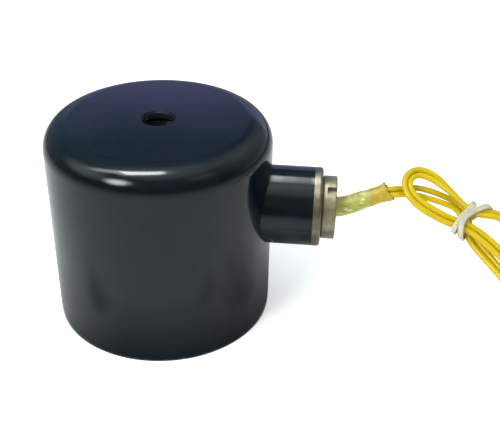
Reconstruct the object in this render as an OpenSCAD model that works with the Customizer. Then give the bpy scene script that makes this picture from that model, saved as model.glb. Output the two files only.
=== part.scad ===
// Sprinkler valve solenoid: a painted steel cup over a coil and a spring-return plunger, with a conduit
// hub, a gland and two flying leads tied in a hank. The rim of the cup is at z = 0 and its axis is Z.
// The leads leave towards +X. Millimetres.

/* [Housing] */
// Outside diameter of the cup
housing_d = 60; // [56:0.5:70]
// Height of the cup from its rim to its top
housing_h = 56.5; // [52:0.5:66]
// Thickness of the cup's wall and top
housing_wall = 2; // [1.6:0.1:2.6]
// Outside radius of the cup's top edge
housing_edge_r = 6.5; // [4:0.25:8]
// Diameter of the hole in the top
top_hole_d = 8.2; // [6:0.1:10]
// Chamfer at the mouth of the top hole
top_hole_chamfer = 0.45; // [0.1:0.05:0.6]

/* [Cable outlet] */
// Outside diameter of the conduit hub
hub_d = 21.3; // [20:0.1:24]
// Bore of the conduit hub
hub_bore_d = 16; // [15:0.1:17]
// Length of the hub outside the cup
hub_len = 11.5; // [9:0.5:18]
// Height of the hub's axis above the rim
hub_z = 32.8; // [28:0.2:36]
// Outside diameter of the gland's flange
gland_flange_d = 21.3; // [19:0.1:24]
// Thickness of the gland's flange
gland_flange_t = 2.2; // [1.5:0.1:4]
// Radius of the flange's outer edge
gland_edge_r = 0.8; // [0.4:0.1:1.2]
// Length of the gland's shank in the hub
gland_shank_len = 10.5; // [9:0.5:11]
// Bore of the gland, round grommet and nut
gland_bore_d = 12.6; // [11:0.1:13]
// Diameter of the gland nut's head
gland_nut_d = 17; // [15:0.1:20]
// Length of the gland nut outside the flange
gland_nut_len = 3.8; // [3:0.1:6]
// Length of the gland nut inside the gland
gland_nose_len = 4.5; // [3:0.1:5.5]
// Width of a spanner notch
notch_w = 2.2; // [1.5:0.1:3]
// Radial depth of a spanner notch
notch_depth = 1.4; // [0.8:0.1:2]
// Length of a spanner notch along the nut
notch_len = 2.5; // [1.5:0.1:2.8]
// Turn of the notches from the vertical, towards -Y
notch_turn = 28; // [0:1:90]

/* [Base] */
// Thickness of the retaining ring
clip_t = 1.4; // [1:0.1:2]
// Height of the retaining ring above the rim
clip_z = 1.2; // [0.8:0.1:2]
// Radial width of the retaining ring
clip_w = 3.4; // [2.5:0.1:4.5]
// Depth of the retaining ring's groove in the wall
groove_depth = 0.8; // [0.5:0.05:1]
// Thickness of the base plate
plate_t = 5; // [4.6:0.1:6]
// Diameter of the valve thread in the socket, at its crests
socket_thread_d = 16.4; // [15:0.1:17.5]
// Depth of the valve thread
socket_depth = 6; // [5:0.1:6.4]
// Diameter of the socket's body in the base plate
socket_body_d = 21; // [20:0.5:24]
// Size across the corners of the socket's hexagon flange
socket_hex_d = 28; // [26:0.5:34]
// Slope of the chamfer on the hexagon's corners
hex_chamfer = 30; // [15:1:40]
// Thickness of the web that stops the plunger
web_t = 1.8; // [1.2:0.1:3]
// Hole in the web for the plunger's nose
web_hole_d = 9.2; // [9:0.1:10]
// Depth of the core tube's seat above the web
seat_depth = 3.7; // [2.5:0.1:5]
// Wall of the socket round the core tube
seat_wall = 1.4; // [1:0.1:2]
// Thickness of the socket seal's ring
socket_seal_t = 1.6; // [1.2:0.1:2]
// Step from the valve thread in to the seal's pocket, on the diameter
seal_step = 2; // [1:0.1:3]

/* [Operator] */
// Diameter of the plunger
plunger_d = 12.6; // [12.2:0.1:13]
// Length of the plunger's body
plunger_len = 15.5; // [14:0.5:18]
// Travel of the plunger
plunger_travel = 2.5; // [1.5:0.1:4]
// Running clearance of the plunger in its tube, on the radius
plunger_fit = 0.08; // [0.04:0.01:0.1]
// Diameter of the plunger's nose
nose_d = 8.4; // [7.6:0.1:8.6]
// Length of the plunger's nose
nose_len = 1.45; // [1:0.05:1.7]
// Diameter of the rubber seat disc
seal_d = 5.6; // [4:0.1:6]
// Thickness of the rubber seat disc
seal_t = 2; // [1.2:0.1:3]
// Width of a flow groove along the plunger
flute_w = 1.8; // [1:0.1:2.4]
// Depth of a flow groove
flute_depth = 0.9; // [0.5:0.1:1.2]
// Wall of the core tube
tube_wall = 0.6; // [0.4:0.05:0.9]
// How far the fixed core's top lies under the flux washer's top
core_drop = 2; // [1:0.1:3]
// Tapped hole in the fixed core, at its crests
core_tap_d = 5; // [4:0.1:6.8]
// Depth of the tapped hole
core_tap_depth = 9; // [6:0.5:12]
// Inside diameter of the shading ring
shading_d = 7.8; // [7.4:0.1:8.4]
// Radial width of the shading ring
shading_w = 1.2; // [0.8:0.1:1.4]
// Thickness of the shading ring
shading_t = 1.6; // [1:0.1:2.5]
// Mean diameter of the return spring
spring_d = 5.2; // [4.4:0.1:5.4]
// Wire of the return spring
spring_wire = 0.6; // [0.4:0.05:0.8]
// Turns of the return spring
spring_turns = 6; // [4:1:8]
// Diameter of the spring's pocket in the plunger
pocket_d = 6.6; // [6.4:0.1:7]
// Depth of the spring's pocket
pocket_depth = 7; // [5:0.5:9]

/* [Coil] */
// Diameter of the bobbin's flanges
bobbin_d = 49; // [47:0.5:50]
// Thickness of the bobbin's flanges
bobbin_flange_t = 2; // [1.2:0.1:3]
// Thickness of the bobbin's hub over the socket
bobbin_wall = 1.2; // [0.8:0.1:2]
// Diameter of the winding
winding_d = 40; // [34:0.5:40]
// Thickness of the tape over the winding
tape_t = 0.5; // [0.2:0.05:0.8]
// Thickness of an insulating washer
insulator_t = 0.5; // [0.3:0.05:1]
// Thickness of the flux washer
flux_washer_t = 3.5; // [3:0.1:5]
// Height of the wave washer as fitted
wave_h = 2.1; // [1.4:0.1:3]
// Thickness of the wave washer's strip
wave_t = 0.5; // [0.3:0.05:0.8]
// Width of the wave washer's strip
wave_w = 4; // [3:0.1:6]
// Diameter of a lead splice
splice_d = 3; // [2.2:0.1:3.2]
// Length of a lead splice
splice_len = 10; // [6:0.5:10]

/* [Leads] */
// Diameter of a lead wire
wire_d = 1.6; // [1.2:0.1:1.8]
// Straight length at each end of a lead inside the cup
lead_straight = 1; // [0.5:0.1:1.5]
// Reach of a lead's bend at each end inside the cup
lead_bend = 5; // [4:0.5:6]
// Outside diameter of the sleeve
sleeve_d = 5; // [4.4:0.1:5.4]
// Wall of the sleeve
sleeve_wall = 0.6; // [0.3:0.05:0.65]
// Thickness of the hank
hank_t = 5.6; // [4:0.2:8]
// Width of the hank where it is tied
hank_waist = 9.6; // [8:0.2:12]
// Width of the tie along the hank
tie_w = 3; // [2:0.1:3.6]
// Thickness of the tie's band
tie_t = 0.8; // [0.5:0.1:1.2]

/* [Hidden] */
$fn = 96;

// Clearances, and how far a cut runs past a face
fit = 0.05;
slip = 0.2;
past = 1;
edge_break = 0.4;

// Radii and heights inside the cup
housing_r = housing_d / 2;
inside_r = housing_r - housing_wall;
inside_top = housing_h - housing_wall;
inside_edge_r = housing_edge_r - housing_wall;
plate_z = clip_z + clip_t;
plate_top = plate_z + plate_t;
web_z = socket_depth + socket_seal_t;
web_top = web_z + web_t;
seat_top = web_top + seat_depth;
wave_z = inside_top - wave_h;
flux_z = wave_z - flux_washer_t;
upper_insulator_z = flux_z - insulator_t;
bobbin_z = plate_top + insulator_t;
bobbin_top = upper_insulator_z;
winding_z = bobbin_z + bobbin_flange_t;
winding_top = bobbin_top - bobbin_flange_t;
// Inside radius of the cup at a height, less where its corner is round
function inside_at(z) = inside_r - inside_edge_r
    + sqrt(pow(inside_edge_r, 2) - pow(max(0, z - inside_top + inside_edge_r), 2));
flux_r = inside_at(wave_z) - slip;

// Operator: tube, plunger and fixed core on one axis
plunger_r = plunger_d / 2;
tube_in_r = plunger_r + plunger_fit;
tube_out_r = tube_in_r + tube_wall;
seat_out_r = tube_out_r + seat_wall;
plunger_z = web_top + fit;
plunger_top = plunger_z + plunger_len;
pocket_z = plunger_top - pocket_depth;
core_z = plunger_top + plunger_travel + fit;
core_top = wave_z - core_drop;
bobbin_hub_r = seat_out_r + slip + bobbin_wall;

// Cable outlet: stations along X
hub_end = housing_r + hub_len;
flange_end = hub_end + gland_flange_t;
mouth_x = flange_end + gland_nut_len;
shank_start = hub_end - gland_shank_len;
gland_end_wall = 2;
gland_end_room = 0.7;
gland_end_d = sleeve_d + 2 * gland_end_room;
seat_x = shank_start + gland_end_wall;
nose_x = flange_end - gland_nose_len;
gland_washer_t = 0.7;
gland_washer_x = nose_x - gland_washer_t;
nut_neck_len = 0.1;
nut_neck_depth = 0.6;
nut_neck_d = gland_nut_d - 2 * nut_neck_depth;
nut_room = 0.5;
nut_bore_d = sleeve_d + 2 * nut_room;

// Spanner lugs of the retaining ring
clip_gap = 9;
clip_lug_r = 2.6;
clip_lug_hole_r = 0.9;

// Waves of the wave washer, and steps round it
wave_count = 3;
wave_steps = 48;

// Lead route from the gland's mouth, as [x, y, z] from the mouth's centre
mouth = [mouth_x, 0, hub_z];
sleeve_route = [[-12, 0, 0], [-7, 0, 0], [-3, 0, 0], [0, 0, 0.2], [3, 0, 1], [6, 0, 2.4], [9, 0, 3.8],
    [11.5, 0, 5.1], [13.5, 0, 5.8]];
// The leads start inside the gland and run on from the sleeve into the hank
wire_route = concat([[-16.5, 0, 0]], sleeve_route, [[15.4, 0.8, 5.5], [17.2, 1.8, 5]]);
// Offset of each lead from the middle of the pair
wire_offset = [0, 0.7, 0.45];

// Place of the hank's tie from the mouth, and the hank's turn: its length is local X, its width local Y
hank_at = [34.5, -2.6, -0.1];
hank_turn = [12, 29, -36];
// Round ends of the hank's outline, as [x, y, radius] in the hank's own plane
hank_loop = [-13.2, -2.8, 6.2];
hank_bulge = [10.4, 2.2, 7.6];
hank_fold = [56.2, 0.5, 7.2];
// The hank keeps its waist under the tie and this far past it
hank_neck_room = 1.6;
hank_neck = tie_w / 2 + hank_neck_room;

function unit(v) = v / norm(v);
function tangent(p, i) = unit(p[min(i + 1, len(p) - 1)] - p[max(i - 1, 0)]);
// Ring of points round a route's point, square to the route; across is never along the route
function ring_at(p, i, r, sides, across) =
    let (t = tangent(p, i), a = unit(cross(t, across)), b = cross(a, t))
    [for (k = [0:sides - 1]) p[i] + r * (cos(360 * k / sides) * a + sin(360 * k / sides) * b)];
function rings(p, r, sides, across) = [for (i = [0:len(p) - 1]) each ring_at(p, i, r, sides, across)];
// Triangles between one ring and the next; flip turns them inside out, for a bore
function wall_faces(count, sides, start, flip) =
    [for (i = [0:count - 2], k = [0:sides - 1])
        let (a = start + i * sides + k, b = start + i * sides + (k + 1) % sides, c = a + sides, d = b + sides)
        each (flip ? [[d, b, a], [c, d, a]] : [[a, b, d], [a, d, c]])];
function bezier(p, t) = pow(1 - t, 3) * p[0] + 3 * t * pow(1 - t, 2) * p[1] + 3 * t * t * (1 - t) * p[2]
    + pow(t, 3) * p[3];

// Round solid along a route
module swept_rod(p, r, sides, across) {
    last = (len(p) - 1) * sides;
    caps = [[for (k = [0:sides - 1]) sides - 1 - k], [for (k = [0:sides - 1]) last + k]];
    polyhedron(rings(p, r, sides, across), concat(caps, wall_faces(len(p), sides, 0, false)));
}

// Round tube along a route, open at both ends
module swept_tube(p, r_out, r_in, sides, across) {
    inner = len(p) * sides;
    last = (len(p) - 1) * sides;
    start_face = [for (k = [0:sides - 1]) let (j = (k + 1) % sides) [j, k, inner + k, inner + j]];
    end_face = [for (k = [0:sides - 1]) let (j = (k + 1) % sides)
        [last + k, last + j, inner + last + j, inner + last + k]];
    polyhedron(concat(rings(p, r_out, sides, across), rings(p, r_in, sides, across)),
        concat(start_face, end_face, wall_faces(len(p), sides, 0, false),
            wall_faces(len(p), sides, inner, true)));
}

// Half section of a round solid with a rounded top edge
module rounded_half(r, z0, z1, edge) {
    translate([0, z0]) square([r, z1 - edge - z0]);
    translate([0, z0]) square([r - edge, z1 - z0]);
    translate([r - edge, z1 - edge]) circle(edge);
}

module washer(r_out, r_in, z, t) {
    translate([0, 0, z]) difference() {
        cylinder(h = t, r = r_out);
        translate([0, 0, -past]) cylinder(h = t + 2 * past, r = r_in);
    }
}

// Solid of revolution about the outlet's axis: its children are a half section, x along the axis
module along_outlet() {
    translate([0, 0, hub_z]) rotate([0, 90, 0]) rotate_extrude() rotate(90) mirror([0, 1]) children();
}

module outlet_rod(x0, x1, r) {
    translate([x0, 0, hub_z]) rotate([0, 90, 0]) cylinder(h = x1 - x0, r = r);
}

module housing_cup() {
    groove_r = inside_r + groove_depth;
    color("#1c2536") difference() {
        rotate_extrude() difference() {
            rounded_half(housing_r, 0, housing_h, housing_edge_r);
            rounded_half(inside_r, -past, inside_top, inside_edge_r);
        }
        translate([0, 0, inside_top - past]) cylinder(h = housing_wall + 2 * past, d = top_hole_d);
        translate([0, 0, housing_h - top_hole_chamfer])
            cylinder(h = 2 * top_hole_chamfer, d1 = top_hole_d, d2 = top_hole_d + 4 * top_hole_chamfer);
        outlet_rod(0, housing_r + past, hub_d / 2 + fit);
        washer(groove_r, inside_r - past, clip_z - fit, clip_t + 2 * fit);
    }
}

module conduit_hub() {
    color("#1c2536") difference() {
        outlet_rod(0, hub_end, hub_d / 2);
        outlet_rod(-past, hub_end + past, hub_bore_d / 2);
        translate([0, 0, hub_z - hub_d]) cylinder(h = 2 * hub_d, r = inside_r);
    }
}

module gland_body() {
    shank_r = hub_bore_d / 2 - fit;
    flange_r = gland_flange_d / 2;
    color("#b3aa9c") along_outlet() difference() {
        union() {
            translate([shank_start, 0]) square([gland_shank_len, shank_r]);
            translate([hub_end, 0]) square([gland_flange_t, flange_r - gland_edge_r]);
            translate([hub_end, 0]) square([gland_flange_t - gland_edge_r, flange_r]);
            translate([flange_end - gland_edge_r, flange_r - gland_edge_r]) circle(gland_edge_r);
        }
        translate([shank_start - past, 0]) square([gland_shank_len + past, gland_end_d / 2]);
        translate([seat_x, 0]) square([flange_end - seat_x + past, gland_bore_d / 2]);
    }
}

module gland_nut() {
    head_x = flange_end + nut_neck_len;
    head_r = gland_nut_d / 2;
    color("#b8aea0") difference() {
        along_outlet() difference() {
            union() {
                translate([nose_x, 0]) square([flange_end - nose_x, gland_bore_d / 2 - fit]);
                translate([flange_end, 0]) square([nut_neck_len, nut_neck_d / 2]);
                translate([head_x, 0]) square([mouth_x - head_x, head_r - edge_break]);
                translate([head_x + edge_break, 0]) square([mouth_x - head_x - 2 * edge_break, head_r]);
                for (x = [head_x + edge_break, mouth_x - edge_break])
                    translate([x, head_r - edge_break]) circle(edge_break);
            }
            translate([nose_x - past, 0]) square([mouth_x - nose_x + 2 * past, nut_bore_d / 2]);
        }
        for (side = [0, 180])
            translate([mouth_x, 0, hub_z]) rotate([notch_turn + side, 0, 0])
                translate([-notch_len, -notch_w / 2, head_r - notch_depth])
                    cube([notch_len + past, notch_w, notch_depth + past]);
    }
}

module gland_washer() {
    color("#c9a34e") along_outlet()
        translate([gland_washer_x, nut_bore_d / 2])
            square([gland_washer_t, gland_bore_d / 2 - fit - nut_bore_d / 2]);
}

module gland_grommet() {
    r_out = gland_bore_d / 2 - fit;
    r_in = sleeve_d / 2 + fit;
    color("#2b2b2b") along_outlet()
        polygon([[seat_x, r_in], [gland_washer_x, r_in], [gland_washer_x, r_out],
            [seat_x + gland_end_wall, r_out], [seat_x, r_out - edge_break]]);
}

module base_plate() {
    color("#8f9296") washer(inside_r - fit, socket_body_d / 2 + fit, plate_z, plate_t);
}

module base_clip() {
    r_out = inside_r + groove_depth - fit;
    lug_y = clip_gap / 2 + clip_lug_r;
    lug_x = -sqrt(pow(r_out - clip_lug_r - groove_depth, 2) - lug_y * lug_y) + clip_w / 2;
    color("#55585c") translate([0, 0, clip_z]) linear_extrude(clip_t) difference() {
        union() {
            difference() {
                circle(r_out);
                circle(r_out - clip_w);
                translate([-housing_r, -clip_gap / 2]) square([housing_r, clip_gap]);
            }
            for (side = [-1, 1]) translate([lug_x, side * lug_y]) circle(clip_lug_r);
        }
        for (side = [-1, 1]) translate([lug_x, side * lug_y]) circle(clip_lug_hole_r);
    }
}

// Hexagon with its lower corners turned off at a slope, as on a nut
module chamfered_hexagon(corner_r, t) {
    flat_r = corner_r * cos(30) - edge_break;
    intersection() {
        cylinder(h = t, r = corner_r, $fn = 6);
        cylinder(h = t, r1 = flat_r, r2 = flat_r + t / tan(hex_chamfer));
    }
}

module base_socket() {
    color("#b98f45") difference() {
        union() {
            chamfered_hexagon(socket_hex_d / 2, plate_z);
            cylinder(h = plate_top, d = socket_body_d);
            cylinder(h = seat_top, r = seat_out_r);
        }
        translate([0, 0, -past]) cylinder(h = socket_depth + past, d = socket_thread_d);
        translate([0, 0, -past]) cylinder(h = web_z + past, d = socket_thread_d - seal_step);
        cylinder(h = seat_top, d = web_hole_d);
        translate([0, 0, web_top]) cylinder(h = seat_depth + past, r = tube_out_r + fit);
    }
}

module socket_seal() {
    ring_r = socket_seal_t / 2;
    color("#202020") translate([0, 0, web_z - ring_r]) rotate_extrude()
        translate([(socket_thread_d - seal_step) / 2 - fit - ring_r, 0]) circle(ring_r);
}

module core_tube() {
    color("#c4c6c8") washer(tube_out_r, tube_in_r, web_top, core_top - web_top);
}

module fixed_core() {
    ring_in = shading_d / 2;
    color("#a4a6a9") difference() {
        translate([0, 0, core_z]) cylinder(h = core_top - core_z, r = tube_in_r);
        translate([0, 0, core_top - core_tap_depth]) cylinder(h = core_tap_depth + past, d = core_tap_d);
        washer(ring_in + shading_w + fit, ring_in - fit, core_z - past, shading_t + past + 2 * fit);
    }
}

module shading_ring() {
    color("#b4683a") washer(shading_d / 2 + shading_w, shading_d / 2, core_z + fit, shading_t);
}

module plunger() {
    color("#b0b3b6") difference() {
        union() {
            translate([0, 0, plunger_z]) cylinder(h = plunger_len, r = plunger_r);
            translate([0, 0, plunger_z - nose_len]) cylinder(h = nose_len + past, d = nose_d);
        }
        translate([0, 0, pocket_z]) cylinder(h = pocket_depth + past, d = pocket_d);
        translate([0, 0, plunger_z - nose_len - past]) cylinder(h = seal_t + past, d = seal_d + 2 * fit);
        for (side = [90, 270]) rotate(side)
            translate([plunger_r - flute_depth, -flute_w / 2, plunger_z - past])
                cube([flute_depth + past, flute_w, plunger_len + 2 * past]);
    }
}

module plunger_seal() {
    color("#262626") translate([0, 0, plunger_z - nose_len]) cylinder(h = seal_t, d = seal_d);
}

module plunger_spring() {
    steps = 12;
    wire_r = spring_wire / 2;
    z0 = pocket_z + wire_r + fit;
    rise = core_z - wire_r - fit - z0;
    coil = [for (i = [0:spring_turns * steps]) let (a = 360 * i / steps)
        [spring_d / 2 * cos(a), spring_d / 2 * sin(a), z0 + rise * i / (spring_turns * steps)]];
    color("#9a9da0") swept_rod(coil, wire_r, 6, [0, 0, 1]);
}

module bobbin() {
    bobbin_h = bobbin_top - bobbin_z;
    seat_h = seat_top + slip - bobbin_z;
    color("#d9cfae") difference() {
        union() {
            translate([0, 0, bobbin_z]) cylinder(h = bobbin_h, r = bobbin_hub_r);
            for (z = [bobbin_z, winding_top])
                translate([0, 0, z]) cylinder(h = bobbin_flange_t, d = bobbin_d);
        }
        translate([0, 0, bobbin_z - past]) cylinder(h = bobbin_h + 2 * past, r = tube_out_r + slip);
        translate([0, 0, bobbin_z - past]) cylinder(h = seat_h + past, r = seat_out_r + slip);
    }
}

module winding() {
    color("#9c4a26") washer(winding_d / 2, bobbin_hub_r + fit, winding_z, winding_top - winding_z);
}

module winding_tape() {
    color("#d8b23a") washer(winding_d / 2 + tape_t, winding_d / 2, winding_z, winding_top - winding_z);
}

module lower_insulator() {
    color("#8a5a3c") washer(bobbin_d / 2, seat_out_r + slip, plate_top, insulator_t);
}

module upper_insulator() {
    color("#8a5a3c") washer(bobbin_d / 2, tube_out_r + slip, upper_insulator_z, insulator_t);
}

module flux_washer() {
    color("#8f9296") washer(flux_r, tube_out_r + fit, flux_z, flux_washer_t);
}

module wave_washer() {
    r_out = inside_r - housing_edge_r;
    r_in = r_out - wave_w;
    swing = (wave_h - wave_t) / 2;
    middle = wave_z + wave_h / 2;
    points = [for (i = [0:wave_steps - 1])
        let (a = 360 * i / wave_steps, z = middle + swing * cos(wave_count * a))
        each [for (c = [[r_in, -1], [r_out, -1], [r_out, 1], [r_in, 1]])
            [c[0] * cos(a), c[0] * sin(a), z + c[1] * wave_t / 2]]];
    faces = [for (i = [0:wave_steps - 1], k = [0:3])
        let (j = (i + 1) % wave_steps, m = (k + 1) % 4) [4 * i + k, 4 * i + m, 4 * j + m, 4 * j + k]];
    color("#7d8084") polyhedron(points, faces);
}

// Splices stand beside the winding, one each side of the outlet
splice_r = winding_d / 2 + tape_t + splice_d / 2 + slip;
splice_turn = 25;
splice_z = winding_top - slip - splice_len;

function splice_at(side) = [splice_r * cos(splice_turn), side * splice_r * sin(splice_turn), splice_z];

module lead_splices() {
    color("#e8e2d2") for (side = [-1, 1]) translate(splice_at(side)) cylinder(h = splice_len, d = splice_d);
}

// Each lead starts and ends straight, so that its ends lie flat on the splice and on the outer lead
module inner_leads() {
    drop = [0, 0, lead_bend];
    run = [lead_bend, 0, 0];
    steps = 9;
    color("#d8bf1e") for (side = [-1, 1]) {
        from = splice_at(side);
        to = mouth + wire_route[0] + side * wire_offset;
        bend_start = from - lead_straight * unit(drop);
        bend_end = to - lead_straight * unit(run);
        curve = [bend_start, bend_start - drop, bend_end - run, bend_end];
        bend = [for (i = [0:steps]) bezier(curve, i / steps)];
        swept_rod(concat([from], bend, [to]), wire_d / 2, 8, [0, side, 0.3]);
    }
}

module lead_sleeve() {
    color("#c9d06a") swept_tube([for (p = sleeve_route) mouth + p], sleeve_d / 2,
        sleeve_d / 2 - sleeve_wall, 10, [0, 1, 0]);
}

module lead_wires() {
    color("#d8bf1e") for (side = [-1, 1])
        swept_rod([for (p = wire_route) mouth + p + side * wire_offset], wire_d / 2, 8, [0, 1, 0]);
}

// Children in the hank's own plane, with the tie at the origin
module in_hank() {
    translate(mouth + hank_at) rotate(hank_turn) children();
}

module disc(at) {
    translate([at[0], at[1]]) circle(at[2], $fn = 32);
}

module hank_outline() {
    neck = [for (side = [-1, 1]) [side * hank_neck, 0, hank_waist / 2]];
    ends = [hank_loop, neck[0], neck[1], hank_bulge, hank_fold];
    for (i = [0:len(ends) - 2]) hull() {
        disc(ends[i]);
        disc(ends[i + 1]);
    }
}

module lead_hank() {
    floor_size = 400;
    color("#d8bf1e") difference() {
        in_hank() linear_extrude(hank_t, center = true) hank_outline();
        translate([0, 0, -floor_size / 2]) cube(floor_size, center = true);
    }
}

// Band with round corners, outside a rectangle of the hank's section
module band_section(r) {
    square([hank_waist + 2 * fit, hank_t + 2 * fit + 2 * r], center = true);
    square([hank_waist + 2 * fit + 2 * r, hank_t + 2 * fit], center = true);
    for (x = [-1, 1], y = [-1, 1])
        translate([x * (hank_waist / 2 + fit), y * (hank_t / 2 + fit)]) circle(r);
}

module hank_tie() {
    color("#e6e4de") in_hank() rotate([90, 0, 90]) linear_extrude(tie_w, center = true) difference() {
        band_section(tie_t);
        square([hank_waist + 2 * fit, hank_t + 2 * fit], center = true);
    }
}

housing_cup();
conduit_hub();
gland_body();
gland_nut();
gland_washer();
gland_grommet();
base_plate();
base_clip();
base_socket();
socket_seal();
core_tube();
fixed_core();
shading_ring();
plunger();
plunger_seal();
plunger_spring();
bobbin();
winding();
winding_tape();
lower_insulator();
upper_insulator();
flux_washer();
wave_washer();
lead_splices();
inner_leads();
lead_sleeve();
lead_wires();
lead_hank();
hank_tie();
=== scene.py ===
"""Looks of the sprinkler valve solenoid: finishes for the CAD nodes, the two leads with their sleeve and rubber band,
the return spring, thread ridges, stage, light and camera. Lengths are millimetres until they reach Blender."""

import math

import bmesh
import bpy
from mathutils import Euler, Matrix, Quaternion, Vector, noise


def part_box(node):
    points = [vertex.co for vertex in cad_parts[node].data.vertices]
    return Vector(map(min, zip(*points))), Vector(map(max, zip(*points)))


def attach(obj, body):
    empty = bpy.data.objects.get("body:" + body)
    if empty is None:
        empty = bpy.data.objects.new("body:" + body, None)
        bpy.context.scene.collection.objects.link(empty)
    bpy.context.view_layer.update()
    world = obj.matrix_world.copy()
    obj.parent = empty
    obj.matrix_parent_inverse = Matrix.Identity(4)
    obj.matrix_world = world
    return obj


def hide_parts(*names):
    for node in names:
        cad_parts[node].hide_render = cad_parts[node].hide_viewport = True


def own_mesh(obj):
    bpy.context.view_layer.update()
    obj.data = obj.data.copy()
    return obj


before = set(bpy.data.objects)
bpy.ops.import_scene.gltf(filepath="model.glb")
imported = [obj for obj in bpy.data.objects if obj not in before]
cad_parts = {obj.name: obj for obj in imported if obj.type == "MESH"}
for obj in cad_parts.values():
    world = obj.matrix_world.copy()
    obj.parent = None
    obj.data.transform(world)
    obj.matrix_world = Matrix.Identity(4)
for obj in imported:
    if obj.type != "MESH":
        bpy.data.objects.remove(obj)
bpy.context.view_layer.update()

MM = 0.001
UP = Vector((0, 0, 1))
scene = bpy.context.scene

# Camera, fitted to the cup's outlines in the photograph
EYE = (40.41, -194.92, 153.03)
YAW, PITCH, ROLL = -4.713, 32.155, 1.156
LENS, SENSOR = 60.76, 36

# Leads: one centre line for the pair, first from the gland's mouth, then in the hank's own frame
WIRE_D = 1.6
MOUTH = Vector((47.5, 0, 32.8))
PAIR_OFFSET = Vector((0, 0.7, 0.45))
HANK_AT, HANK_TURN = MOUTH + Vector((34.2, -2.6, 0.1)), (12, 29, -36)
HANK = Matrix.Translation(HANK_AT) @ Euler(map(math.radians, HANK_TURN)).to_matrix().to_4x4()
GLAND_ROUTE = [(-16.5, 0, 0), (-12, 0, 0), (-7, 0, 0), (-3, 0, 0), (0, 0, 0.2), (3, 0, 1), (6, 0, 2.4), (9, 0, 3.8),
               (11.5, 0, 4.95), (13.5, 0.1, 5.6)]
# Each row: x, y, z, turn of the pair out of the hank's plane in degrees, half the pair's spacing
HANK_ROUTE = [
    # in, under the near loop, to the tie
    (-17.6, -9, -1.5, 10, 0.82), (-16.7, -7.2, -1.9, 5, 0.82), (-15.8, -5.2, -2.3, 5, 0.92),
    (-14.5, -3.1, -2.5, 5, 1.12), (-12.4, -1.3, -2.4, 5, 1.2), (-9.9, 0.2, -2.1, 5, 1.15), (-7.4, 1.6, -1.9, 5, 1.02),
    (-5.1, 2.7, -1.8, 5, 0.92), (-2.7, 2.9, -1.8, 5, 0.84), (-0.5, 2.1, -1.9, 5, 0.82), (1.5, 0.8, -2, 5, 0.82),
    (3.4, -0.5, -2.1, 5, 0.84),
    # out to the far fold
    (6, -1.4, -2, 10, 0.86), (9.2, -1.8, -1.8, 10, 0.9), (13, -2.1, -1.6, 10, 0.88), (19, -2.8, -1.3, 10, 0.84),
    (27, -3.8, -1.2, 5, 0.84), (36, -4.6, -1.2, 0, 0.84), (45, -5.1, -1.3, 0, 0.84), (52, -5.2, -1.5, 0, 0.84),
    (56.2, -5.2, -1.7, 0, 0.84), (60, -4, -1.9, 0, 0.86), (61.9, 0.5, -2, 0, 0.88), (60, 5, -1.9, 0, 0.86),
    (56.2, 6.2, -1.7, 0, 0.84),
    # back, over the arch, through the tie
    (51, 6.2, -1.3, 0, 0.84), (43, 6.2, -0.8, 5, 0.84), (34, 6.5, -0.1, 10, 0.84), (25, 7, 0.8, 15, 0.84),
    (17, 7.6, 1.6, 20, 0.86), (11.4, 8.1, 2, 20, 0.9), (7.4, 8.2, 2.2, 20, 0.94), (4.4, 7.4, 2.2, 20, 0.94),
    (2.4, 5.3, 1.9, 25, 0.88), (0.8, 3.5, 1.4, 35, 0.84), (-1.6, 2.7, 1, 45, 0.84),
    # near loop
    (-4.6, 2.65, 0.8, 50, 0.83), (-8, 2.65, 0.8, 45, 0.83), (-11.4, 2.4, 0.8, 15, 0.83), (-15, 1.6, 0.9, -10, 0.84),
    (-17.8, -0.4, 0.9, -15, 0.85), (-18.5, -3.6, 0.9, -10, 0.85), (-17.2, -6.3, 0.8, 0, 0.85),
    (-14.6, -7.6, 0.6, 10, 0.84), (-11.6, -7.5, 0.4, 20, 0.84), (-8.8, -6.8, 0.3, 22, 0.84),
    (-6.2, -5.7, 0.2, 18, 0.84),
    # through the tie, out to the free ends
    (-3.6, -4.5, 0.1, 12, 0.84), (-1.2, -3.1, 0.2, 8, 0.84), (1.2, -1.7, 0.5, 5, 0.84), (3.8, -0.9, 0.9, 5, 0.86),
    (7, -0.6, 1.2, 5, 0.9), (11, -0.3, 1.3, 10, 0.9), (17, 0.1, 1.2, 10, 0.88), (25, 0.5, 1, 10, 0.84),
    (34, 0.9, 0.6, 5, 0.84), (43, 1.1, 0.2, 0, 0.84), (52, 1.2, 0.1, 0, 0.84), (57.5, 1.2, 0.2, 0, 0.84),
    (61.5, 1.2, 0.8, 0, 0.84), (65, 1.2, 2.2, 0, 0.84), (68, 1.2, 3.8, 0, 0.84)]

# Rubber band, in the hank's frame: two turns of one closed loop that cross behind the hank
TIE_ROUTE = [
    # left turn, front, downward
    (-1.9, 5.5, 0.8), (-1.7, 4.4, 1.9), (-1.5, 2.8, 2.75), (-1.35, 1, 2.4), (-1.2, -1.1, 2.1), (-0.85, -2.9, 1.75),
    (-0.5, -4.4, 1.2), (-0.1, -5, 0.3),
    # back, upward to the right
    (0.2, -4.7, -0.9), (0.3, -3.4, -2.4), (0.2, -1.4, -3.7), (0, 0.8, -4.25), (0.1, 3.2, -3.9), (0.7, 5.6, -1.9),
    (1.5, 7.2, -0.3),
    # right turn, front, downward
    (1.9, 7.9, 1.3), (1.3, 7, 2.5), (0.75, 5.4, 3.1), (0.2, 3.2, 3.45), (-0.35, 0.8, 3.3), (-0.5, -1.2, 3.0),
    (-0.1, -2.8, 2.65), (0.9, -4.1, 1.75), (1.95, -4.75, 0.6), (2.7, -4.4, -0.8),
    # back, upward to the left
    (2.9, -3, -2.4), (2.4, -0.8, -3.4), (1.2, 1, -3.1), (-0.4, 2.8, -3.1), (-1.4, 4.4, -2.15), (-1.9, 5.4, -0.7)]
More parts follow.
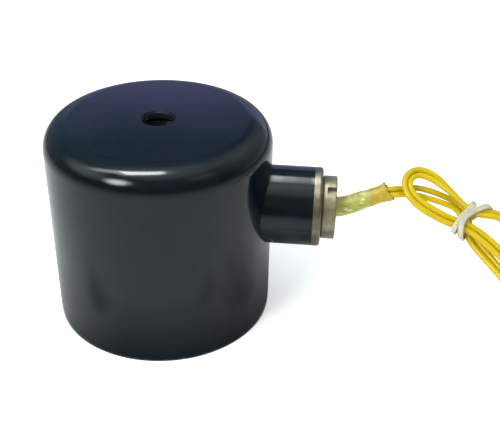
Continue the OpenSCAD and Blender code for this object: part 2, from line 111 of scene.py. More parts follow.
TIE_W, TIE_T = 1.5, 0.9

# Sleeve: its radii at the gland and at its end, its wall, the shares of its length where it starts to narrow and over
# which it narrows, and the number of rings that its slanting cut reaches back
SLEEVE_R, SLEEVE_END_R, SLEEVE_WALL = 2.35, 1.95, 0.3
NARROW_FROM, NARROW_OVER = 0.48, 0.4
CUT_RINGS = 20
# Creases of the sleeve: how close they lie along it and round it, how much closer the fine ones, and their depths
CREASE_ALONG, CREASE_ROUND, CREASE_CLOSER = 0.45, 1.4, 2.7
CREASE_DEPTH, CREASE_FINE_DEPTH = 0.22, 0.1
# Torn corner of the sleeve: its place and half width in turns, and how far it stands out and back
TORN_AT, TORN_HALF, TORN_OUT, TORN_BACK = 0.19, 0.08, 0.95, 0.1

# Ridges of the inside threads: the valve's in the socket, and the fixing screw's in the core
SOCKET_THREAD = {"radius": 8.2, "low": 0.9, "high": 5.4, "pitch": 1.3, "height": 0.5}
CORE_THREAD = {"radius": 2.5, "low": 44, "high": 50, "pitch": 1.0, "height": 0.35}


# Mesh tools

def link(name, data):
    piece = bpy.data.objects.new(name, data)
    scene.collection.objects.link(piece)
    return piece


def mesh_piece(name, bm, sharp=40):
    """A smooth-shaded object from a bmesh, with edges sharp where it turns by more than the given degrees."""
    bmesh.ops.recalc_face_normals(bm, faces=bm.faces)
    mesh = bpy.data.meshes.new(name)
    bm.to_mesh(mesh)
    bm.free()
    mesh.polygons.foreach_set("use_smooth", [True] * len(mesh.polygons))
    mesh.set_sharp_from_angle(angle=math.radians(sharp))
    return link(name, mesh)


def smooth_line(points, steps, closed=False):
    """Points along a Catmull-Rom curve through the given ones."""
    points = [Vector(p) for p in points]
    if closed:
        ends = points[-1:] + points + points[:2]
    else:
        ends = [2 * points[0] - points[1]] + points + [2 * points[-1] - points[-2]]
    line = []
    for a, b, c, d in zip(ends, ends[1:], ends[2:], ends[3:]):
        for k in range(steps):
            t = k / steps
            line.append(0.5 * (2 * b + (c - a) * t + (2 * a - 5 * b + 4 * c - d) * t ** 2
                               + (3 * b - a - 3 * c + d) * t ** 3))
    return line if closed else line + points[-1:]


def sweep(bm, line, side, section, closed=False, capped=True):
    """Draws a section along a line. section(k) lists offsets at point k along the side direction and the normal."""
    count = len(line)
    rings = []
    for k, p in enumerate(line):
        behind = line[k - 1] if closed or k else line[0]
        ahead = line[(k + 1) % count] if closed or k + 1 < count else line[-1]
        along = (ahead - behind).normalized()
        across = (side - side.dot(along) * along).normalized()
        normal = along.cross(across)
        rings.append([bm.verts.new((p + u * across + v * normal) * MM) for u, v in section(k)])
    for a, b in zip(rings, rings[1:] + (rings[:1] if closed else [])):
        for j in range(len(a)):
            bm.faces.new((a[j - 1], a[j], b[j], b[j - 1]))
    if capped and not closed:
        bm.faces.new(rings[0])
        bm.faces.new(rings[-1])
    return rings


def circle(radius, sides):
    turns = [2 * math.pi * j / sides for j in range(sides)]
    return [(radius * math.cos(t), radius * math.sin(t)) for t in turns]


def rounded_strip(width, thickness, corner=0.3, steps=3):
    """Outline of a strip's cross-section with rounded corners."""
    outline = []
    for quarter, (su, sv) in enumerate(((1, 1), (-1, 1), (-1, -1), (1, -1))):
        for j in range(steps + 1):
            t = math.pi / 2 * (quarter + j / steps)
            outline.append((su * (width / 2 - corner) + corner * math.cos(t),
                            sv * (thickness / 2 - corner) + corner * math.sin(t)))
    return outline


# Material tools

def add(tree, kind, inputs=None, **settings):
    """A new shader node with its settings made, and its inputs set or linked."""
    made = tree.nodes.new("ShaderNode" + kind)
    for key, value in settings.items():
        setattr(made, key, value)
    for key, value in (inputs or {}).items():
        if isinstance(value, bpy.types.NodeSocket):
            tree.links.new(value, made.inputs[key])
        else:
            made.inputs[key].default_value = value
    return made


def start_material(name, sockets=None):
    """A new material, its tree, its shader and the place on the part in metres."""
    material = bpy.data.materials.new(name)
    material.use_nodes = True
    tree = material.node_tree
    shader = tree.nodes["Principled BSDF"]
    for key, value in (sockets or {}).items():
        shader.inputs[key].default_value = value
    return material, tree, shader, add(tree, "TexCoord").outputs["Object"]


def clouds(tree, place, scale, detail=3, stretch=None):
    """Noise with so many features to the metre, drawn out along an axis where its stretch is small."""
    if stretch:
        place = add(tree, "Mapping", {"Vector": place, "Scale": stretch}).outputs["Vector"]
    return add(tree, "TexNoise", {"Vector": place, "Scale": scale, "Detail": detail}).outputs[0]


def span(tree, value, low, high, at_low=0.0, at_high=1.0):
    """Maps a value from low and high to two others, held beyond them."""
    return add(tree, "MapRange", {"Value": value, "From Min": low, "From Max": high, "To Min": at_low,
                                  "To Max": at_high}).outputs["Result"]


def math_node(tree, operation, a, b):
    return add(tree, "Math", {0: a, 1: b}, operation=operation).outputs[0]


def vector_node(tree, operation, a, b):
    return add(tree, "VectorMath", {0: a, 1: b}, operation=operation).outputs[0]


def vector_length(tree, vector):
    return add(tree, "VectorMath", {0: vector}, operation="LENGTH").outputs["Value"]


def away(tree, place, centre, reach):
    """Distance from a centre, in shares of a reach along each axis."""
    return vector_length(tree, vector_node(tree, "DIVIDE", vector_node(tree, "SUBTRACT", place, centre), reach))


def mix(tree, factor, a, b, blend="MIX"):
    """A colour between two by a factor, or the first with a share of the second added."""
    return add(tree, "Mix", {0: factor, 6: a, 7: b}, data_type="RGBA", blend_type=blend).outputs[2]


def ramp(tree, factor, stops):
    """A colour from stops of position and colour."""
    made = add(tree, "ValToRGB", {"Fac": factor})
    elements = made.color_ramp.elements
    while len(elements) < len(stops):
        elements.new(0.5)
    for element, (position, colour) in zip(elements, stops):
        element.position = position
        element.color = (*colour, 1)
    return made.outputs["Color"]


def rgba(colour):
    return (*colour, 1)


def relief(tree, shader, height, depth, under=None):
    """Bumps the surface by a height of 0 to 1 times a depth in millimetres."""
    inputs = {"Height": height, "Distance": depth * MM, "Strength": 1.0}
    if under:
        inputs["Normal"] = under
    normal = add(tree, "Bump", inputs).outputs["Normal"]
    tree.links.new(normal, shader.inputs["Normal"])
    return normal


def finish(name, dark, light, rough, cloud, grain, stretch, depth, sockets=None):
    """A material whose colour and roughness drift between two values in clouds, over a fine grain in relief."""
    material, tree, shader, place = start_material(name, sockets)
    drift = span(tree, clouds(tree, place, cloud, 4), 0.3, 0.7)
    fine = clouds(tree, place, grain, 3, stretch)
    tree.links.new(mix(tree, math_node(tree, "MULTIPLY", drift, fine), rgba(dark), rgba(light)),
                   shader.inputs["Base Color"])
    patches = clouds(tree, place, cloud * 3, 3, stretch)
    tree.links.new(span(tree, patches, 0.3, 0.7, *rough), shader.inputs["Roughness"])
    relief(tree, shader, fine, depth)
    return material


# Materials

def navy_paint():
    """Gloss stove enamel on drawn steel: orange peel, dust nibs and smears, worn at the rim and dull at the hole."""
    material, tree, shader, place = start_material("navy_paint", {"IOR": 1.42, "Specular Tint": (0.93, 0.985, 1, 1)})
    height = add(tree, "SeparateXYZ", {"Vector": place}).outputs["Z"]
    from_axis = vector_length(tree, vector_node(tree, "MULTIPLY", place, (1, 1, 0)))
    at_rim = span(tree, height, 0, 1.0 * MM, 1, 0)
    at_hole = math_node(tree, "MULTIPLY", span(tree, from_axis, 4.5 * MM, 5 * MM, 1, 0),
                        span(tree, height, 55.9 * MM, 56.1 * MM))
    in_hole = span(tree, from_axis, 4.15 * MM, 4.3 * MM, 1, 0)
    chips = span(tree, clouds(tree, place, 900, 4), 0.5, 0.7)
    worn = math_node(tree, "MAXIMUM", at_rim, math_node(tree, "MULTIPLY", at_hole, 0.1))
    worn = math_node(tree, "MULTIPLY", worn, chips)
    body = mix(tree, clouds(tree, place, 60, 4), rgba((0.0012, 0.0030, 0.0060)), rgba((0.0026, 0.0052, 0.0092)))
    mottle = span(tree, clouds(tree, place, 320, 3), 0.35, 0.7, 0, 0.55)
    body = mix(tree, mottle, body, rgba((0.0050, 0.0085, 0.0140)))
    body = mix(tree, in_hole, body, rgba((0.010, 0.015, 0.021)))
    tree.links.new(mix(tree, worn, body, rgba((0.07, 0.08, 0.10))), shader.inputs["Base Color"])
    smears = span(tree, clouds(tree, place, 45, 5, (1, 1, 0.5)), 0.42, 0.72, 0.09, 0.19)
    rough = math_node(tree, "ADD", smears, math_node(tree, "MULTIPLY", worn, 0.25))
    rough = math_node(tree, "ADD", rough, math_node(tree, "MULTIPLY", at_hole, 0.4))
    tree.links.new(rough, shader.inputs["Roughness"])
    tree.links.new(span(tree, at_hole, 0, 1, 0.5, 0.15), shader.inputs["Specular IOR Level"])
    peel = relief(tree, shader, clouds(tree, place, 420, 2), 0.004)
    dots = add(tree, "TexVoronoi", {"Vector": place, "Scale": 330}).outputs["Distance"]
    relief(tree, shader, span(tree, dots, 0.03, 0.09, 1, 0), 0.008, peel)
    return material


def yellow_wire():
    """Soft PVC insulation: glossy where clean, duller and browner where handled."""
    material, tree, shader, place = start_material("yellow_wire", {"IOR": 1.35})
    dirt = span(tree, clouds(tree, place, 260, 5), 0.5, 0.75)
    clean = mix(tree, clouds(tree, place, 90, 2), rgba((0.56, 0.395, 0.003)), rgba((0.65, 0.48, 0.006)))
    tree.links.new(mix(tree, math_node(tree, "MULTIPLY", dirt, 0.35), clean, rgba((0.33, 0.21, 0.01))),
                   shader.inputs["Base Color"])
    tree.links.new(span(tree, dirt, 0, 1, 0.26, 0.5), shader.inputs["Roughness"])
    relief(tree, shader, clouds(tree, place, 1500, 3), 0.012)
    return material


def clear_sleeve():
    """Thin yellow-green sleeving, creased and cloudy, with pale flecks and dark specks, turning tan at its cut end."""
    material, tree, shader, place = start_material("clear_sleeve", {"IOR": 1.4, "Transmission Weight": 0.2})
    x = add(tree, "SeparateXYZ", {"Vector": place}).outputs["X"]
    drift = math_node(tree, "MULTIPLY", math_node(tree, "SUBTRACT", clouds(tree, place, 500, 3), 0.5), 3 * MM)
    along = span(tree, math_node(tree, "ADD", x, drift), 47.5 * MM, 61.5 * MM)
    # Lighter and yellower where it leaves the nut: painted light over the nut's shadow; tan towards the cut end
    base = ramp(tree, along, [(0.0, (0.60, 0.53, 0.11)), (0.16, (0.48, 0.48, 0.10)), (0.42, (0.43, 0.45, 0.095)),
                              (0.55, (0.47, 0.49, 0.11)), (0.68, (0.50, 0.375, 0.03)), (1.0, (0.54, 0.37, 0.012))])
    green = math_node(tree, "MULTIPLY", span(tree, along, 0.06, 0.2), span(tree, along, 0.72, 0.5))
    flecks = math_node(tree, "MULTIPLY", span(tree, clouds(tree, place, 900, 4, (0.6, 1, 1)), 0.56, 0.64),
                       span(tree, green, 0, 1, 0.25, 1))
    streaks = math_node(tree, "MULTIPLY", span(tree, clouds(tree, place, 1000, 5, (0.35, 1, 1)), 0.47, 0.36), green)
    pale = mix(tree, math_node(tree, "MULTIPLY", flecks, 0.8), base, rgba((0.93, 0.93, 0.45)))
    tree.links.new(mix(tree, math_node(tree, "MULTIPLY", streaks, 0.75), pale, rgba((0.27, 0.30, 0.05))),
                   shader.inputs["Base Color"])
    tree.links.new(span(tree, flecks, 0, 1, 0.4, 0.22), shader.inputs["Roughness"])
    relief(tree, shader, clouds(tree, place, 700, 4), 0.12)
    return material


def floor_material():
    """White acrylic, faintly lit from below like a light table."""
    glow_through = {"Roughness": 0.8, "Emission Color": (0.98, 0.99, 1, 1), "Emission Strength": 0.4}
    material, tree, shader, place = start_material("floor", glow_through)
    tree.links.new(mix(tree, clouds(tree, place, 8, 3), rgba((0.90, 0.91, 0.915)), rgba((0.92, 0.93, 0.935))),
                   shader.inputs["Base Color"])
    return material


# Patches of painted shade on the sheet, each with its middle, its reach along x and y, and its opacity
SHADE_SHEET_PATCHES = [((-33, -37), (42, 18), 0.66), ((42, -14), (48, 42), 0.76), ((37, -40), (34, 20), 0.56)]


def shade_sheet_material():
    """Painted shade: thick close to the part, far away, and in patches in front, at the right and before the hub."""
    shade_sheet_sockets = {"Base Color": (0.005, 0.006, 0.007, 1), "Roughness": 1, "Specular IOR Level": 0}
    material, tree, shader, place = start_material("shade_sheet", shade_sheet_sockets)
    x = add(tree, "SeparateXYZ", {"Vector": place}).outputs["X"]
    from_axis = vector_length(tree, place)
    # Painted contact shadow round the part, half as thick at the left, and painted darkness far away
    shaded = span(tree, x, -30 * MM, -8 * MM, 0.5, 1)
    close = math_node(tree, "MULTIPLY", span(tree, from_axis, 30 * MM, 55 * MM, 0.6, 0.05), shaded)
    far = math_node(tree, "ADD", span(tree, from_axis, 110 * MM, 200 * MM, 0.26, 0.5),
                    span(tree, from_axis, 200 * MM, 500 * MM, 0, 0.33))
    opacity = math_node(tree, "ADD", close, far)
    for (middle_x, middle_y), (reach_x, reach_y), most in SHADE_SHEET_PATCHES:
        out = away(tree, place, (middle_x * MM, middle_y * MM, 0), (reach_x * MM, reach_y * MM, 1))
        ragged = math_node(tree, "ADD", out, math_node(tree, "MULTIPLY", clouds(tree, place, 110, 3), 0.5))
        opacity = math_node(tree, "MAXIMUM", opacity, span(tree, ragged, 0.3, 1.25, most, 0))
    tree.links.new(opacity, shader.inputs["Alpha"])
    return material


METAL = {"Metallic": 1.0}
# Stretch of a grain: even, and turned on a lathe round z or x
EVEN = None
ROUND_Z = (0.05, 0.05, 1)
ROUND_X = (1, 0.06, 0.06)
# Plain finishes: dark and light colour, roughness, clouds and grain to the metre, the grain's stretch and its depth
# in millimetres, and the shader's own sockets
FINISHES = {
    "nickel": ((0.19, 0.166, 0.108), (0.45, 0.41, 0.305), (0.32, 0.48), 420, 5000, ROUND_X, 0.008, {"Metallic": 0.7}),
    # A darker copy of the nickel for the gland body: painted shade that tones down its reflection
    "shaded_nickel": ((0.145, 0.126, 0.08), (0.34, 0.31, 0.23), (0.3, 0.45), 420, 5000, ROUND_X, 0.008,
                    {"Metallic": 0.85}),
    "brass": ((0.42, 0.27, 0.09), (0.74, 0.53, 0.22), (0.22, 0.42), 160, 4000, ROUND_Z, 0.006, METAL),
    "black_rubber": ((0.010, 0.010, 0.011), (0.03, 0.03, 0.032), (0.5, 0.75), 200, 3500, EVEN, 0.02),
    "zinc_steel": ((0.36, 0.38, 0.42), (0.62, 0.63, 0.66), (0.28, 0.5), 90, 1800, EVEN, 0.006, METAL),
    "spring_steel": ((0.10, 0.10, 0.11), (0.30, 0.29, 0.28), (0.3, 0.5), 240, 3000, EVEN, 0.008, METAL),
    "stainless": ((0.42, 0.41, 0.40), (0.66, 0.65, 0.63), (0.18, 0.34), 140, 5000, ROUND_Z, 0.004, METAL),
    # Near black: painted shade for the fixed core and its thread, down the recess under the top hole
    "painted_shade_iron": ((0.0015, 0.003, 0.005), (0.004, 0.007, 0.010), (0.55, 0.75), 300, 3000, ROUND_Z, 0.01,
                  {"Specular IOR Level": 0.12}),
    "copper": ((0.36, 0.10, 0.035), (0.72, 0.30, 0.12), (0.22, 0.4), 180, 2200, ROUND_Z, 0.05, METAL),
    "bobbin_plastic": ((0.50, 0.45, 0.34), (0.66, 0.61, 0.48), (0.4, 0.6), 120, 2600, (1, 1, 0.3), 0.012),
    "coil_tape": ((0.55, 0.36, 0.03), (0.74, 0.55, 0.08), (0.25, 0.4), 90, 1500, ROUND_Z, 0.02),
    "fibre": ((0.16, 0.05, 0.03), (0.30, 0.12, 0.07), (0.6, 0.8), 260, 3000, EVEN, 0.02),
    "splice_sleeve": ((0.56, 0.54, 0.50), (0.76, 0.74, 0.70), (0.35, 0.55), 300, 3000, EVEN, 0.02),
    "white_rubber": ((0.42, 0.385, 0.285), (0.81, 0.77, 0.62), (0.45, 0.65), 350, 4000, EVEN, 0.03),
    "tinned_copper": ((0.45, 0.42, 0.38), (0.74, 0.72, 0.68), (0.2, 0.4), 400, 5000, EVEN, 0.006, METAL),
}
MATERIALS = {name: finish(name, *values) for name, values in FINISHES.items()}
MATERIALS.update(navy_paint=navy_paint(), yellow_wire=yellow_wire(), clear_sleeve=clear_sleeve())
NODE_SLOTS = {
    "navy_paint": ["housing_cup", "conduit_hub"],
    "nickel": ["gland_body", "gland_nut"],
    "brass": ["base_socket", "gland_washer"],
    "black_rubber": ["gland_grommet", "socket_seal", "plunger_seal"],
    "zinc_steel": ["base_plate", "flux_washer"],
    "spring_steel": ["base_clip", "wave_washer"],
    "stainless": ["core_tube", "fixed_core", "plunger", "plunger_spring"],
    "copper": ["shading_ring", "winding"],
    "bobbin_plastic": ["bobbin"],
    "coil_tape": ["winding_tape"],
    "fibre": ["lower_insulator", "upper_insulator"],
    "splice_sleeve": ["lead_splices"],
    "yellow_wire": ["inner_leads", "lead_wires", "lead_hank"],
    "clear_sleeve": ["lead_sleeve"],
    "white_rubber": ["hank_tie"],
}
# Nodes whose finish differs from their slot's: painted shade on the fixed core and the gland body
NODE_FINISHES = {"fixed_core": "painted_shade_iron", "gland_body": "shaded_nickel"}


def dress(piece, slot, material=None):
    """Gives a piece its material: the given one, or else its slot's."""
    piece.data.materials.clear()
    piece.data.materials.append(MATERIALS[material or slot])
    return piece


for slot_name, node_names in NODE_SLOTS.items():
    for node_name in node_names:
        dress(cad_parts[node_name], slot_name, NODE_FINISHES.get(node_name))


# Leads, sleeve and tie

def pair_routes():
    """Control points of the two leads, which run side by side along one centre line."""
    rows = [(MOUTH + Vector(p), PAIR_OFFSET) for p in GLAND_ROUTE]
    centres = [Vector(row[:3]) for row in HANK_ROUTE]
    behind = centres[:1] + centres[:-1]
    ahead = centres[1:] + centres[-1:]
    for (x, y, z, turn, half), centre, before, after in zip(HANK_ROUTE, centres, behind, ahead):
        along = after - before
        across = Vector((-along.y, along.x, 0)).normalized()
        offset = half * (math.cos(math.radians(turn)) * across + math.sin(math.radians(turn)) * UP)
        rows.append((HANK @ centre, HANK.to_3x3() @ offset))
    return [[centre + side * offset for centre, offset in rows] for side in (1, -1)]


def make_lead(name, route):
    """A lead's insulation: one round wire along its route."""
    data = bpy.data.curves.new(name, "CURVE")
    data.dimensions = "3D"
    data.bevel_depth = WIRE_D / 2 * MM
    data.bevel_resolution = 6
    data.resolution_u = 6
    data.use_fill_caps = True
    line = data.splines.new("NURBS")
    line.points.add(len(route) - 1)
    for point, p in zip(line.points, route):
        point.co = (*(p * MM), 1)
    line.order_u = 4
    line.use_endpoint_u = True
    return dress(link(name, data), "yellow_wire")


def make_lead_end(name, route):
    """The stripped end of a lead: six tinned strands twisted round a seventh."""
    length, strand, lay, tuck, flare = 7.0, 0.3, 5.0, 0.5, 0.25
    start, along = route[-1], (route[-1] - route[-2]).normalized()
    along = Vector((along.x, along.y, along.z * 0.3)).normalized()
    side = along.cross(UP).normalized()
    normal = along.cross(side)
    bm = bmesh.new()
    steps = 24
    for wire in range(7):
        line = []
        for k in range(steps + 1):
            at = length * (k / steps) * (1 - 0.04 * (wire % 3)) - tuck
            turn = 2 * math.pi * (at / lay + wire / 6)
            radius = 0 if wire == 6 else strand * (1 + flare * (k / steps) ** 2)
            line.append(start + at * along + radius * (math.cos(turn) * side + math.sin(turn) * normal))
        sweep(bm, line, UP, lambda k: circle(strand / 2, 8))
    return dress(mesh_piece(name, bm), "yellow_wire", "tinned_copper")


def make_sleeve():
    """The sleeve on both leads: creased along its bend, with a slanting ragged cut and a torn corner standing up."""
    sides, steps = 48, 12
    route = [MOUTH + Vector(p) for p in GLAND_ROUTE[1:]]
    line = smooth_line(route, steps)
    reach = [0.0]
    for a, b in zip(line, line[1:]):
        reach.append(reach[-1] + (b - a).length)
    total = reach[-1]

    def outline(k):
        at = reach[k] / total
        ring = []
        for j in range(sides):
            turn = 2 * math.pi * j / sides
            spot = Vector((reach[k] * CREASE_ALONG, math.cos(turn) * CREASE_ROUND, math.sin(turn) * CREASE_ROUND))
            crease = noise.noise(spot) * CREASE_DEPTH + noise.noise(spot * CREASE_CLOSER) * CREASE_FINE_DEPTH
            free = min(1.0, max(0.0, (at - NARROW_FROM) / NARROW_OVER))
            pinch = 1 - 0.06 * free * math.cos(2 * turn)
            radius = (SLEEVE_R + (SLEEVE_END_R - SLEEVE_R) * free) * pinch + 0.6 * free * crease
            ring.append((radius * math.cos(turn), radius * math.sin(turn)))
        return ring

    bm = bmesh.new()
    rings = sweep(bm, line, Vector((0, 1, 0)), outline, capped=False)
    along = (line[-1] - line[-2]).normalized()
    middle = line[-1] * MM
    for depth, ring in enumerate(reversed(rings[-CUT_RINGS:])):
        share = (1 - depth / CUT_RINGS) ** 1.5
        for j, vert in enumerate(ring):
            out = (vert.co - middle) - (vert.co - middle).dot(along) * along
            height = out.z / (SLEEVE_R * MM)
            ragged = noise.noise(Vector((j * 0.9, 3.1, 0))) * 0.5
            vert.co += along * MM * share * (ragged + 0.5 - 0.9 * height)
            torn = max(0.0, 1 - abs(j / sides - TORN_AT) / TORN_HALF)
            vert.co += (out.normalized() * TORN_OUT - along * TORN_BACK) * MM * torn * share ** 2
    piece = mesh_piece("sleeve", bm, 180)
    wall = piece.modifiers.new("wall", "SOLIDIFY")
    wall.thickness = SLEEVE_WALL * MM
    wall.offset = -1
    return dress(piece, "clear_sleeve")


def make_tie():
    """The rubber band: a flat strip in two turns round the hank."""
    bm = bmesh.new()
    line = smooth_line([HANK @ Vector(p) for p in TIE_ROUTE], 8, closed=True)
    outline = rounded_strip(TIE_W, TIE_T)
    sweep(bm, line, HANK.to_3x3() @ Vector((1, 0, 0)), lambda k: outline, closed=True)
    return dress(mesh_piece("tie", bm), "white_rubber")


route_one, route_two = pair_routes()
lead_one, lead_two = make_lead("lead_one", route_one), make_lead("lead_two", route_two)
end_one, end_two = make_lead_end("lead_one_end", route_one), make_lead_end("lead_two_end", route_two)
sleeve, tie = make_sleeve(), make_tie()
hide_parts("lead_wires", "lead_hank")
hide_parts("lead_wires", "lead_hank")
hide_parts("lead_sleeve")
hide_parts("hank_tie")
for wire, extras in ((lead_one, [sleeve, tie, end_one]), (lead_two, [end_two])):
    for piece in [wire] + extras:
        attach(piece, "head")


# Return spring and threads

def make_spring():
    """The return spring in the CAD coil's box: the same six working turns, with a closed turn added at each end."""
    low, high = (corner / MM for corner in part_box("plunger_spring"))
    wire, turns, closed_turns, steps = 0.6, 8, 1, 36
    radius = (high.x - low.x - wire) / 2
    rise = high.z - low.z - wire
    count = turns * steps
    line = []
    for k in range(count + 1):
        turn = k / steps
        working = (min(max(turn, closed_turns), turns - closed_turns) - closed_turns) / (turns - 2 * closed_turns)
        ends = min(turn, closed_turns) + max(turn - turns + closed_turns, 0)
        height = ends * wire + working * (rise - 2 * closed_turns * wire)
        angle = 2 * math.pi * turn
        line.append(Vector((radius * math.cos(angle), radius * math.sin(angle), low.z + wire / 2 + height)))
    bm = bmesh.new()
    sweep(bm, line, UP, lambda k: circle(wire / 2, 12))
    return dress(mesh_piece("return_spring", bm), "stainless")


def make_thread(name, slot, radius, low, high, pitch, height, material=None):
    """The ridge of an inside thread, which runs out at both ends."""
    steps = 48
    turns = (high - low) / pitch
    count = round(turns * steps)
    line = []
    for k in range(count + 1):
        angle = 2 * math.pi * k / steps
        line.append(Vector((radius * math.cos(angle), radius * math.sin(angle), low + pitch * k / steps)))

    def ridge(k):
        run_out = min(1.0, k / steps * 2, (count - k) / steps * 2)
        half, foot = pitch * 0.42, 0.06
        return [(-half, foot), (-pitch * 0.06, -height * run_out), (pitch * 0.06, -height * run_out), (half, foot)]

    bm = bmesh.new()
    sweep(bm, line, UP, ridge)
    return dress(mesh_piece(name, bm, 25), slot, material)


spring = make_spring()
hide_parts("plunger_spring")
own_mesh(spring)
socket_thread = make_thread("socket_thread", "brass", **SOCKET_THREAD)
# The core's thread, near black like the core: painted shade under the top hole
core_thread = make_thread("core_thread", "stainless", material="painted_shade_iron", **CORE_THREAD)
for piece in (spring, socket_thread, core_thread):
    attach(piece, "head")


# Stage, light and camera

# Half the floor's side, and the height and rings of the painted shade sheet, in millimetres
FLOOR_HALF = 4000
SHADE_SHEET_HEIGHT, SHADE_SHEET_RINGS = 0.1, (30.3, 60, 120, 400, 4000)
BACKDROP = (0.95, 0.95, 0.95)
# Soft boxes for the room: place and size in metres, and power
FILLS = [("key", (-0.2, 0.3, 1.5), (1.8, 1.8), 4), ("fill_right", (1.2, -0.3, 0.9), (1.2, 1.2), 4),
         ("fill_front", (-0.2, -1.2, 0.9), (1.2, 1.2), 1)]
# Lamp that the cup's edge mirrors, and its halo, turned alike and aimed at one point of the edge
LAMPS = [("lamp", (-0.0218, -0.0452, 0.2), (0.073, 0.034), 0.18),
         ("lamp_halo", (-0.031, -0.048, 0.201), (0.09, 0.06), 0.05)]
LAMP_AIM, LAMP_TURN = (0.001, -0.027, 0.055), (0.96, 0.28, 0)
# Lamps above the hub, each with its ends along x in millimetres and its power; they overlap, so that the hub's
# highlight fades outwards
HUB_LAMPS = [(28, 32, 0.000033), (28, 36, 0.00005), (28, 40, 0.00005), (28, 47, 0.00017), (41, 48, 0.0002)]
# Their place and width in metres and spread in degrees, and the points they aim at, a little nearer the cup
HUB_LAMP_Y, HUB_LAMP_Z, HUB_LAMP_W, HUB_LAMP_SPREAD = 0.006, 0.072, 0.015, 44
HUB_AIM_BACK, HUB_AIM_Y, HUB_AIM_Z = 0.5, -0.0065, 0.0415
# Lit patches of the room, each a direction, its reach along x, y and z, and its radiance
GLOWS = [
    # window in front at the left, and the wall that it lights
    ((-0.475, -0.715, 0.515), (0.3, 0.27, 0.33), (19, 19.6, 18)),
    ((-0.8, -0.22, 0.56), (0.5, 0.6, 0.5), (1.65, 1.8, 1.75)),
    # light overhead and its tail to the left
    ((-0.12, -0.05, 1), (0.5, 0.25, 1), (0.6, 0.62, 0.6)),
    ((-0.52, -0.15, 0.84), (0.4, 0.18, 0.4), (6.6, 7, 6.8)),
    # wall in front at the right
    ((0.65, -0.42, 0.68), (0.4, 0.4, 0.3), (0.6, 0.64, 0.62))]


def make_floor():
    bm = bmesh.new()
    bmesh.ops.create_grid(bm, x_segments=8, y_segments=8, size=FLOOR_HALF * MM)
    floor = mesh_piece("floor", bm)
    floor.data.materials.append(floor_material())


def only_mirrored(piece):
    """Keeps a card of the stage out of sight and out of the light, so that it only shows in reflections."""
    piece.visible_camera = piece.visible_diffuse = piece.visible_shadow = piece.visible_transmission = False


def make_shade_sheet():
    """A ring of painted shade on the floor, seen only in reflections, that dims the floor's reflection."""
    sides = 96
    bm = bmesh.new()
    rings = []
    for radius in SHADE_SHEET_RINGS:
        rings.append([bm.verts.new((x * MM, y * MM, SHADE_SHEET_HEIGHT * MM)) for x, y in circle(radius, sides)])
    for a, b in zip(rings, rings[1:]):
        for j in range(sides):
            bm.faces.new((a[j - 1], a[j], b[j], b[j - 1]))
    shade_sheet = mesh_piece("shade_sheet", bm)
    shade_sheet.data.materials.append(shade_sheet_material())
    only_mirrored(shade_sheet)


def area_light(name, at, size, energy, target=(0, 0, 0.03), spread=180, mirrored=False, along=(1, 0, 0)):
    """A soft box that looks at its target: either a fill that gloss doesn't show, or a lamp that only gloss shows."""
    data = bpy.data.lights.new(name, "AREA")
    data.shape = "RECTANGLE"
    data.size, data.size_y = size
    data.energy = energy
    data.spread = math.radians(spread)
    light = link(name, data)
    back = (Vector(at) - Vector(target)).normalized()
    along = Vector(along)
    across = (along - along.dot(back) * back).normalized()
    turn = Matrix((across, back.cross(across), back)).transposed().to_4x4()
    light.matrix_world = Matrix.Translation(at) @ turn
    light.visible_glossy = mirrored
    light.visible_diffuse = not mirrored
    light.visible_camera = False


def glow(tree, room, towards, centre, reach, colour):
    """Adds a soft patch of light to the room, round one direction."""
    out = away(tree, towards, centre, reach)
    share = add(tree, "MapRange", {"Value": out, "From Min": 0, "From Max": 1, "To Min": 1, "To Max": 0},
                interpolation_type="SMOOTHERSTEP").outputs["Result"]
    return mix(tree, share, room, rgba(colour), "ADD")


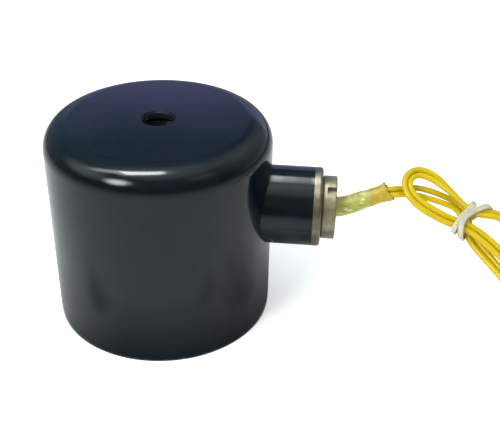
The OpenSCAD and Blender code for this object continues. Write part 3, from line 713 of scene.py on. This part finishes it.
def make_world():
    """The room that paint and metal mirror: dim walls, a bluish glow low behind, light overhead and at the left."""
    world = bpy.data.worlds.new("studio")
    world.use_nodes = True
    scene.world = world
    tree = world.node_tree
    ground = tree.nodes["Background"]
    towards = add(tree, "TexCoord").outputs["Generated"]
    parts = add(tree, "SeparateXYZ", {"Vector": towards})
    x, depth, height = parts.outputs["X"], parts.outputs["Y"], parts.outputs["Z"]
    before = ramp(tree, height, [(0, (0.12, 0.11, 0.09)), (0.25, (0.12, 0.11, 0.09)), (0.4, (0.22, 0.21, 0.19)),
                                 (0.77, (0.28, 0.28, 0.25)), (0.89, (1.0, 1.05, 1.0)), (1, (1.25, 1.3, 1.25))])
    behind = ramp(tree, height, [(0, (0.2, 0.26, 0.34)), (0.4, (0.11, 0.16, 0.235)), (0.55, (0.115, 0.17, 0.235)),
                                 (0.7, (0.2, 0.3, 0.37)), (0.84, (0.33, 0.43, 0.5)), (0.9, (0.45, 0.55, 0.57)),
                                 (0.96, (1.1, 1.15, 1.15)), (1, (1.25, 1.3, 1.25))])
    left = ramp(tree, height, [(0, (0.18, 0.22, 0.3)), (0.25, (0.2, 0.27, 0.37)), (0.6, (0.16, 0.27, 0.39)),
                               (0.78, (0.25, 0.38, 0.44)), (0.89, (0.38, 0.48, 0.5)), (1, (1.25, 1.3, 1.25))])
    right = ramp(tree, height, [(0, (0.5, 0.53, 0.54)), (0.26, (0.36, 0.4, 0.42)), (0.42, (0.45, 0.5, 0.54)),
                                (0.56, (0.56, 0.63, 0.67)), (0.67, (0.8, 0.9, 0.92)), (0.91, (0.84, 0.94, 0.98)),
                                (1, (1.25, 1.3, 1.25))])
    behind = mix(tree, span(tree, x, 0.1, 0.5), behind, right)
    behind = mix(tree, span(tree, x, -0.22, -0.42), behind, left)
    off = math_node(tree, "ADD", x, 0.15)
    arch = math_node(tree, "MULTIPLY", math_node(tree, "MULTIPLY", off, off), 0.85)
    screen = ramp(tree, math_node(tree, "ADD", height, arch),
                  [(0, (0.2, 0.18, 0.3)), (0.28, (0.2, 0.18, 0.34)), (0.35, (0.36, 0.34, 0.66)),
                   (0.405, (0.36, 0.35, 0.8)), (0.417, (0.25, 0.24, 0.54)), (0.43, (0.14, 0.15, 0.36)),
                   (0.445, (0.04, 0.05, 0.13)), (0.465, (0, 0, 0))])
    behind = mix(tree, span(tree, x, -0.5, -0.3), behind, screen, "ADD")
    room = mix(tree, span(tree, depth, -0.15, 0.35), before, behind)
    for centre, reach, colour in GLOWS:
        room = glow(tree, room, towards, centre, reach, colour)
    seen = add(tree, "LightPath").outputs["Is Camera Ray"]
    tree.links.new(mix(tree, seen, room, rgba(BACKDROP)), ground.inputs["Color"])


def make_camera():
    yaw, pitch = math.radians(YAW), math.radians(PITCH)
    forward = Vector((math.sin(yaw) * math.cos(pitch), math.cos(yaw) * math.cos(pitch), -math.sin(pitch)))
    data = bpy.data.cameras.new("camera")
    data.sensor_fit = "HORIZONTAL"
    data.sensor_width = SENSOR
    data.lens = LENS
    data.clip_start = 0.005
    camera = link("camera", data)
    turn = forward.to_track_quat("-Z", "Y") @ Quaternion((0, 0, 1), math.radians(ROLL))
    camera.matrix_world = Matrix.Translation(Vector(EYE) * MM) @ turn.to_matrix().to_4x4()
    scene.camera = camera


make_floor()
make_shade_sheet()
make_world()
for name, at, size, energy in FILLS:
    area_light(name, at, size, energy)
for name, at, size, energy in LAMPS:
    area_light(name, at, size, energy, LAMP_AIM, mirrored=True, along=LAMP_TURN)
for left, right, energy in HUB_LAMPS:
    middle = (left + right) / 2
    area_light("hub_lamp_%d" % right, (middle * MM, HUB_LAMP_Y, HUB_LAMP_Z), ((right - left) * MM, HUB_LAMP_W), energy,
               ((middle - HUB_AIM_BACK) * MM, HUB_AIM_Y, HUB_AIM_Z), HUB_LAMP_SPREAD, True)
make_camera()
scene.view_settings.view_transform = "Standard"
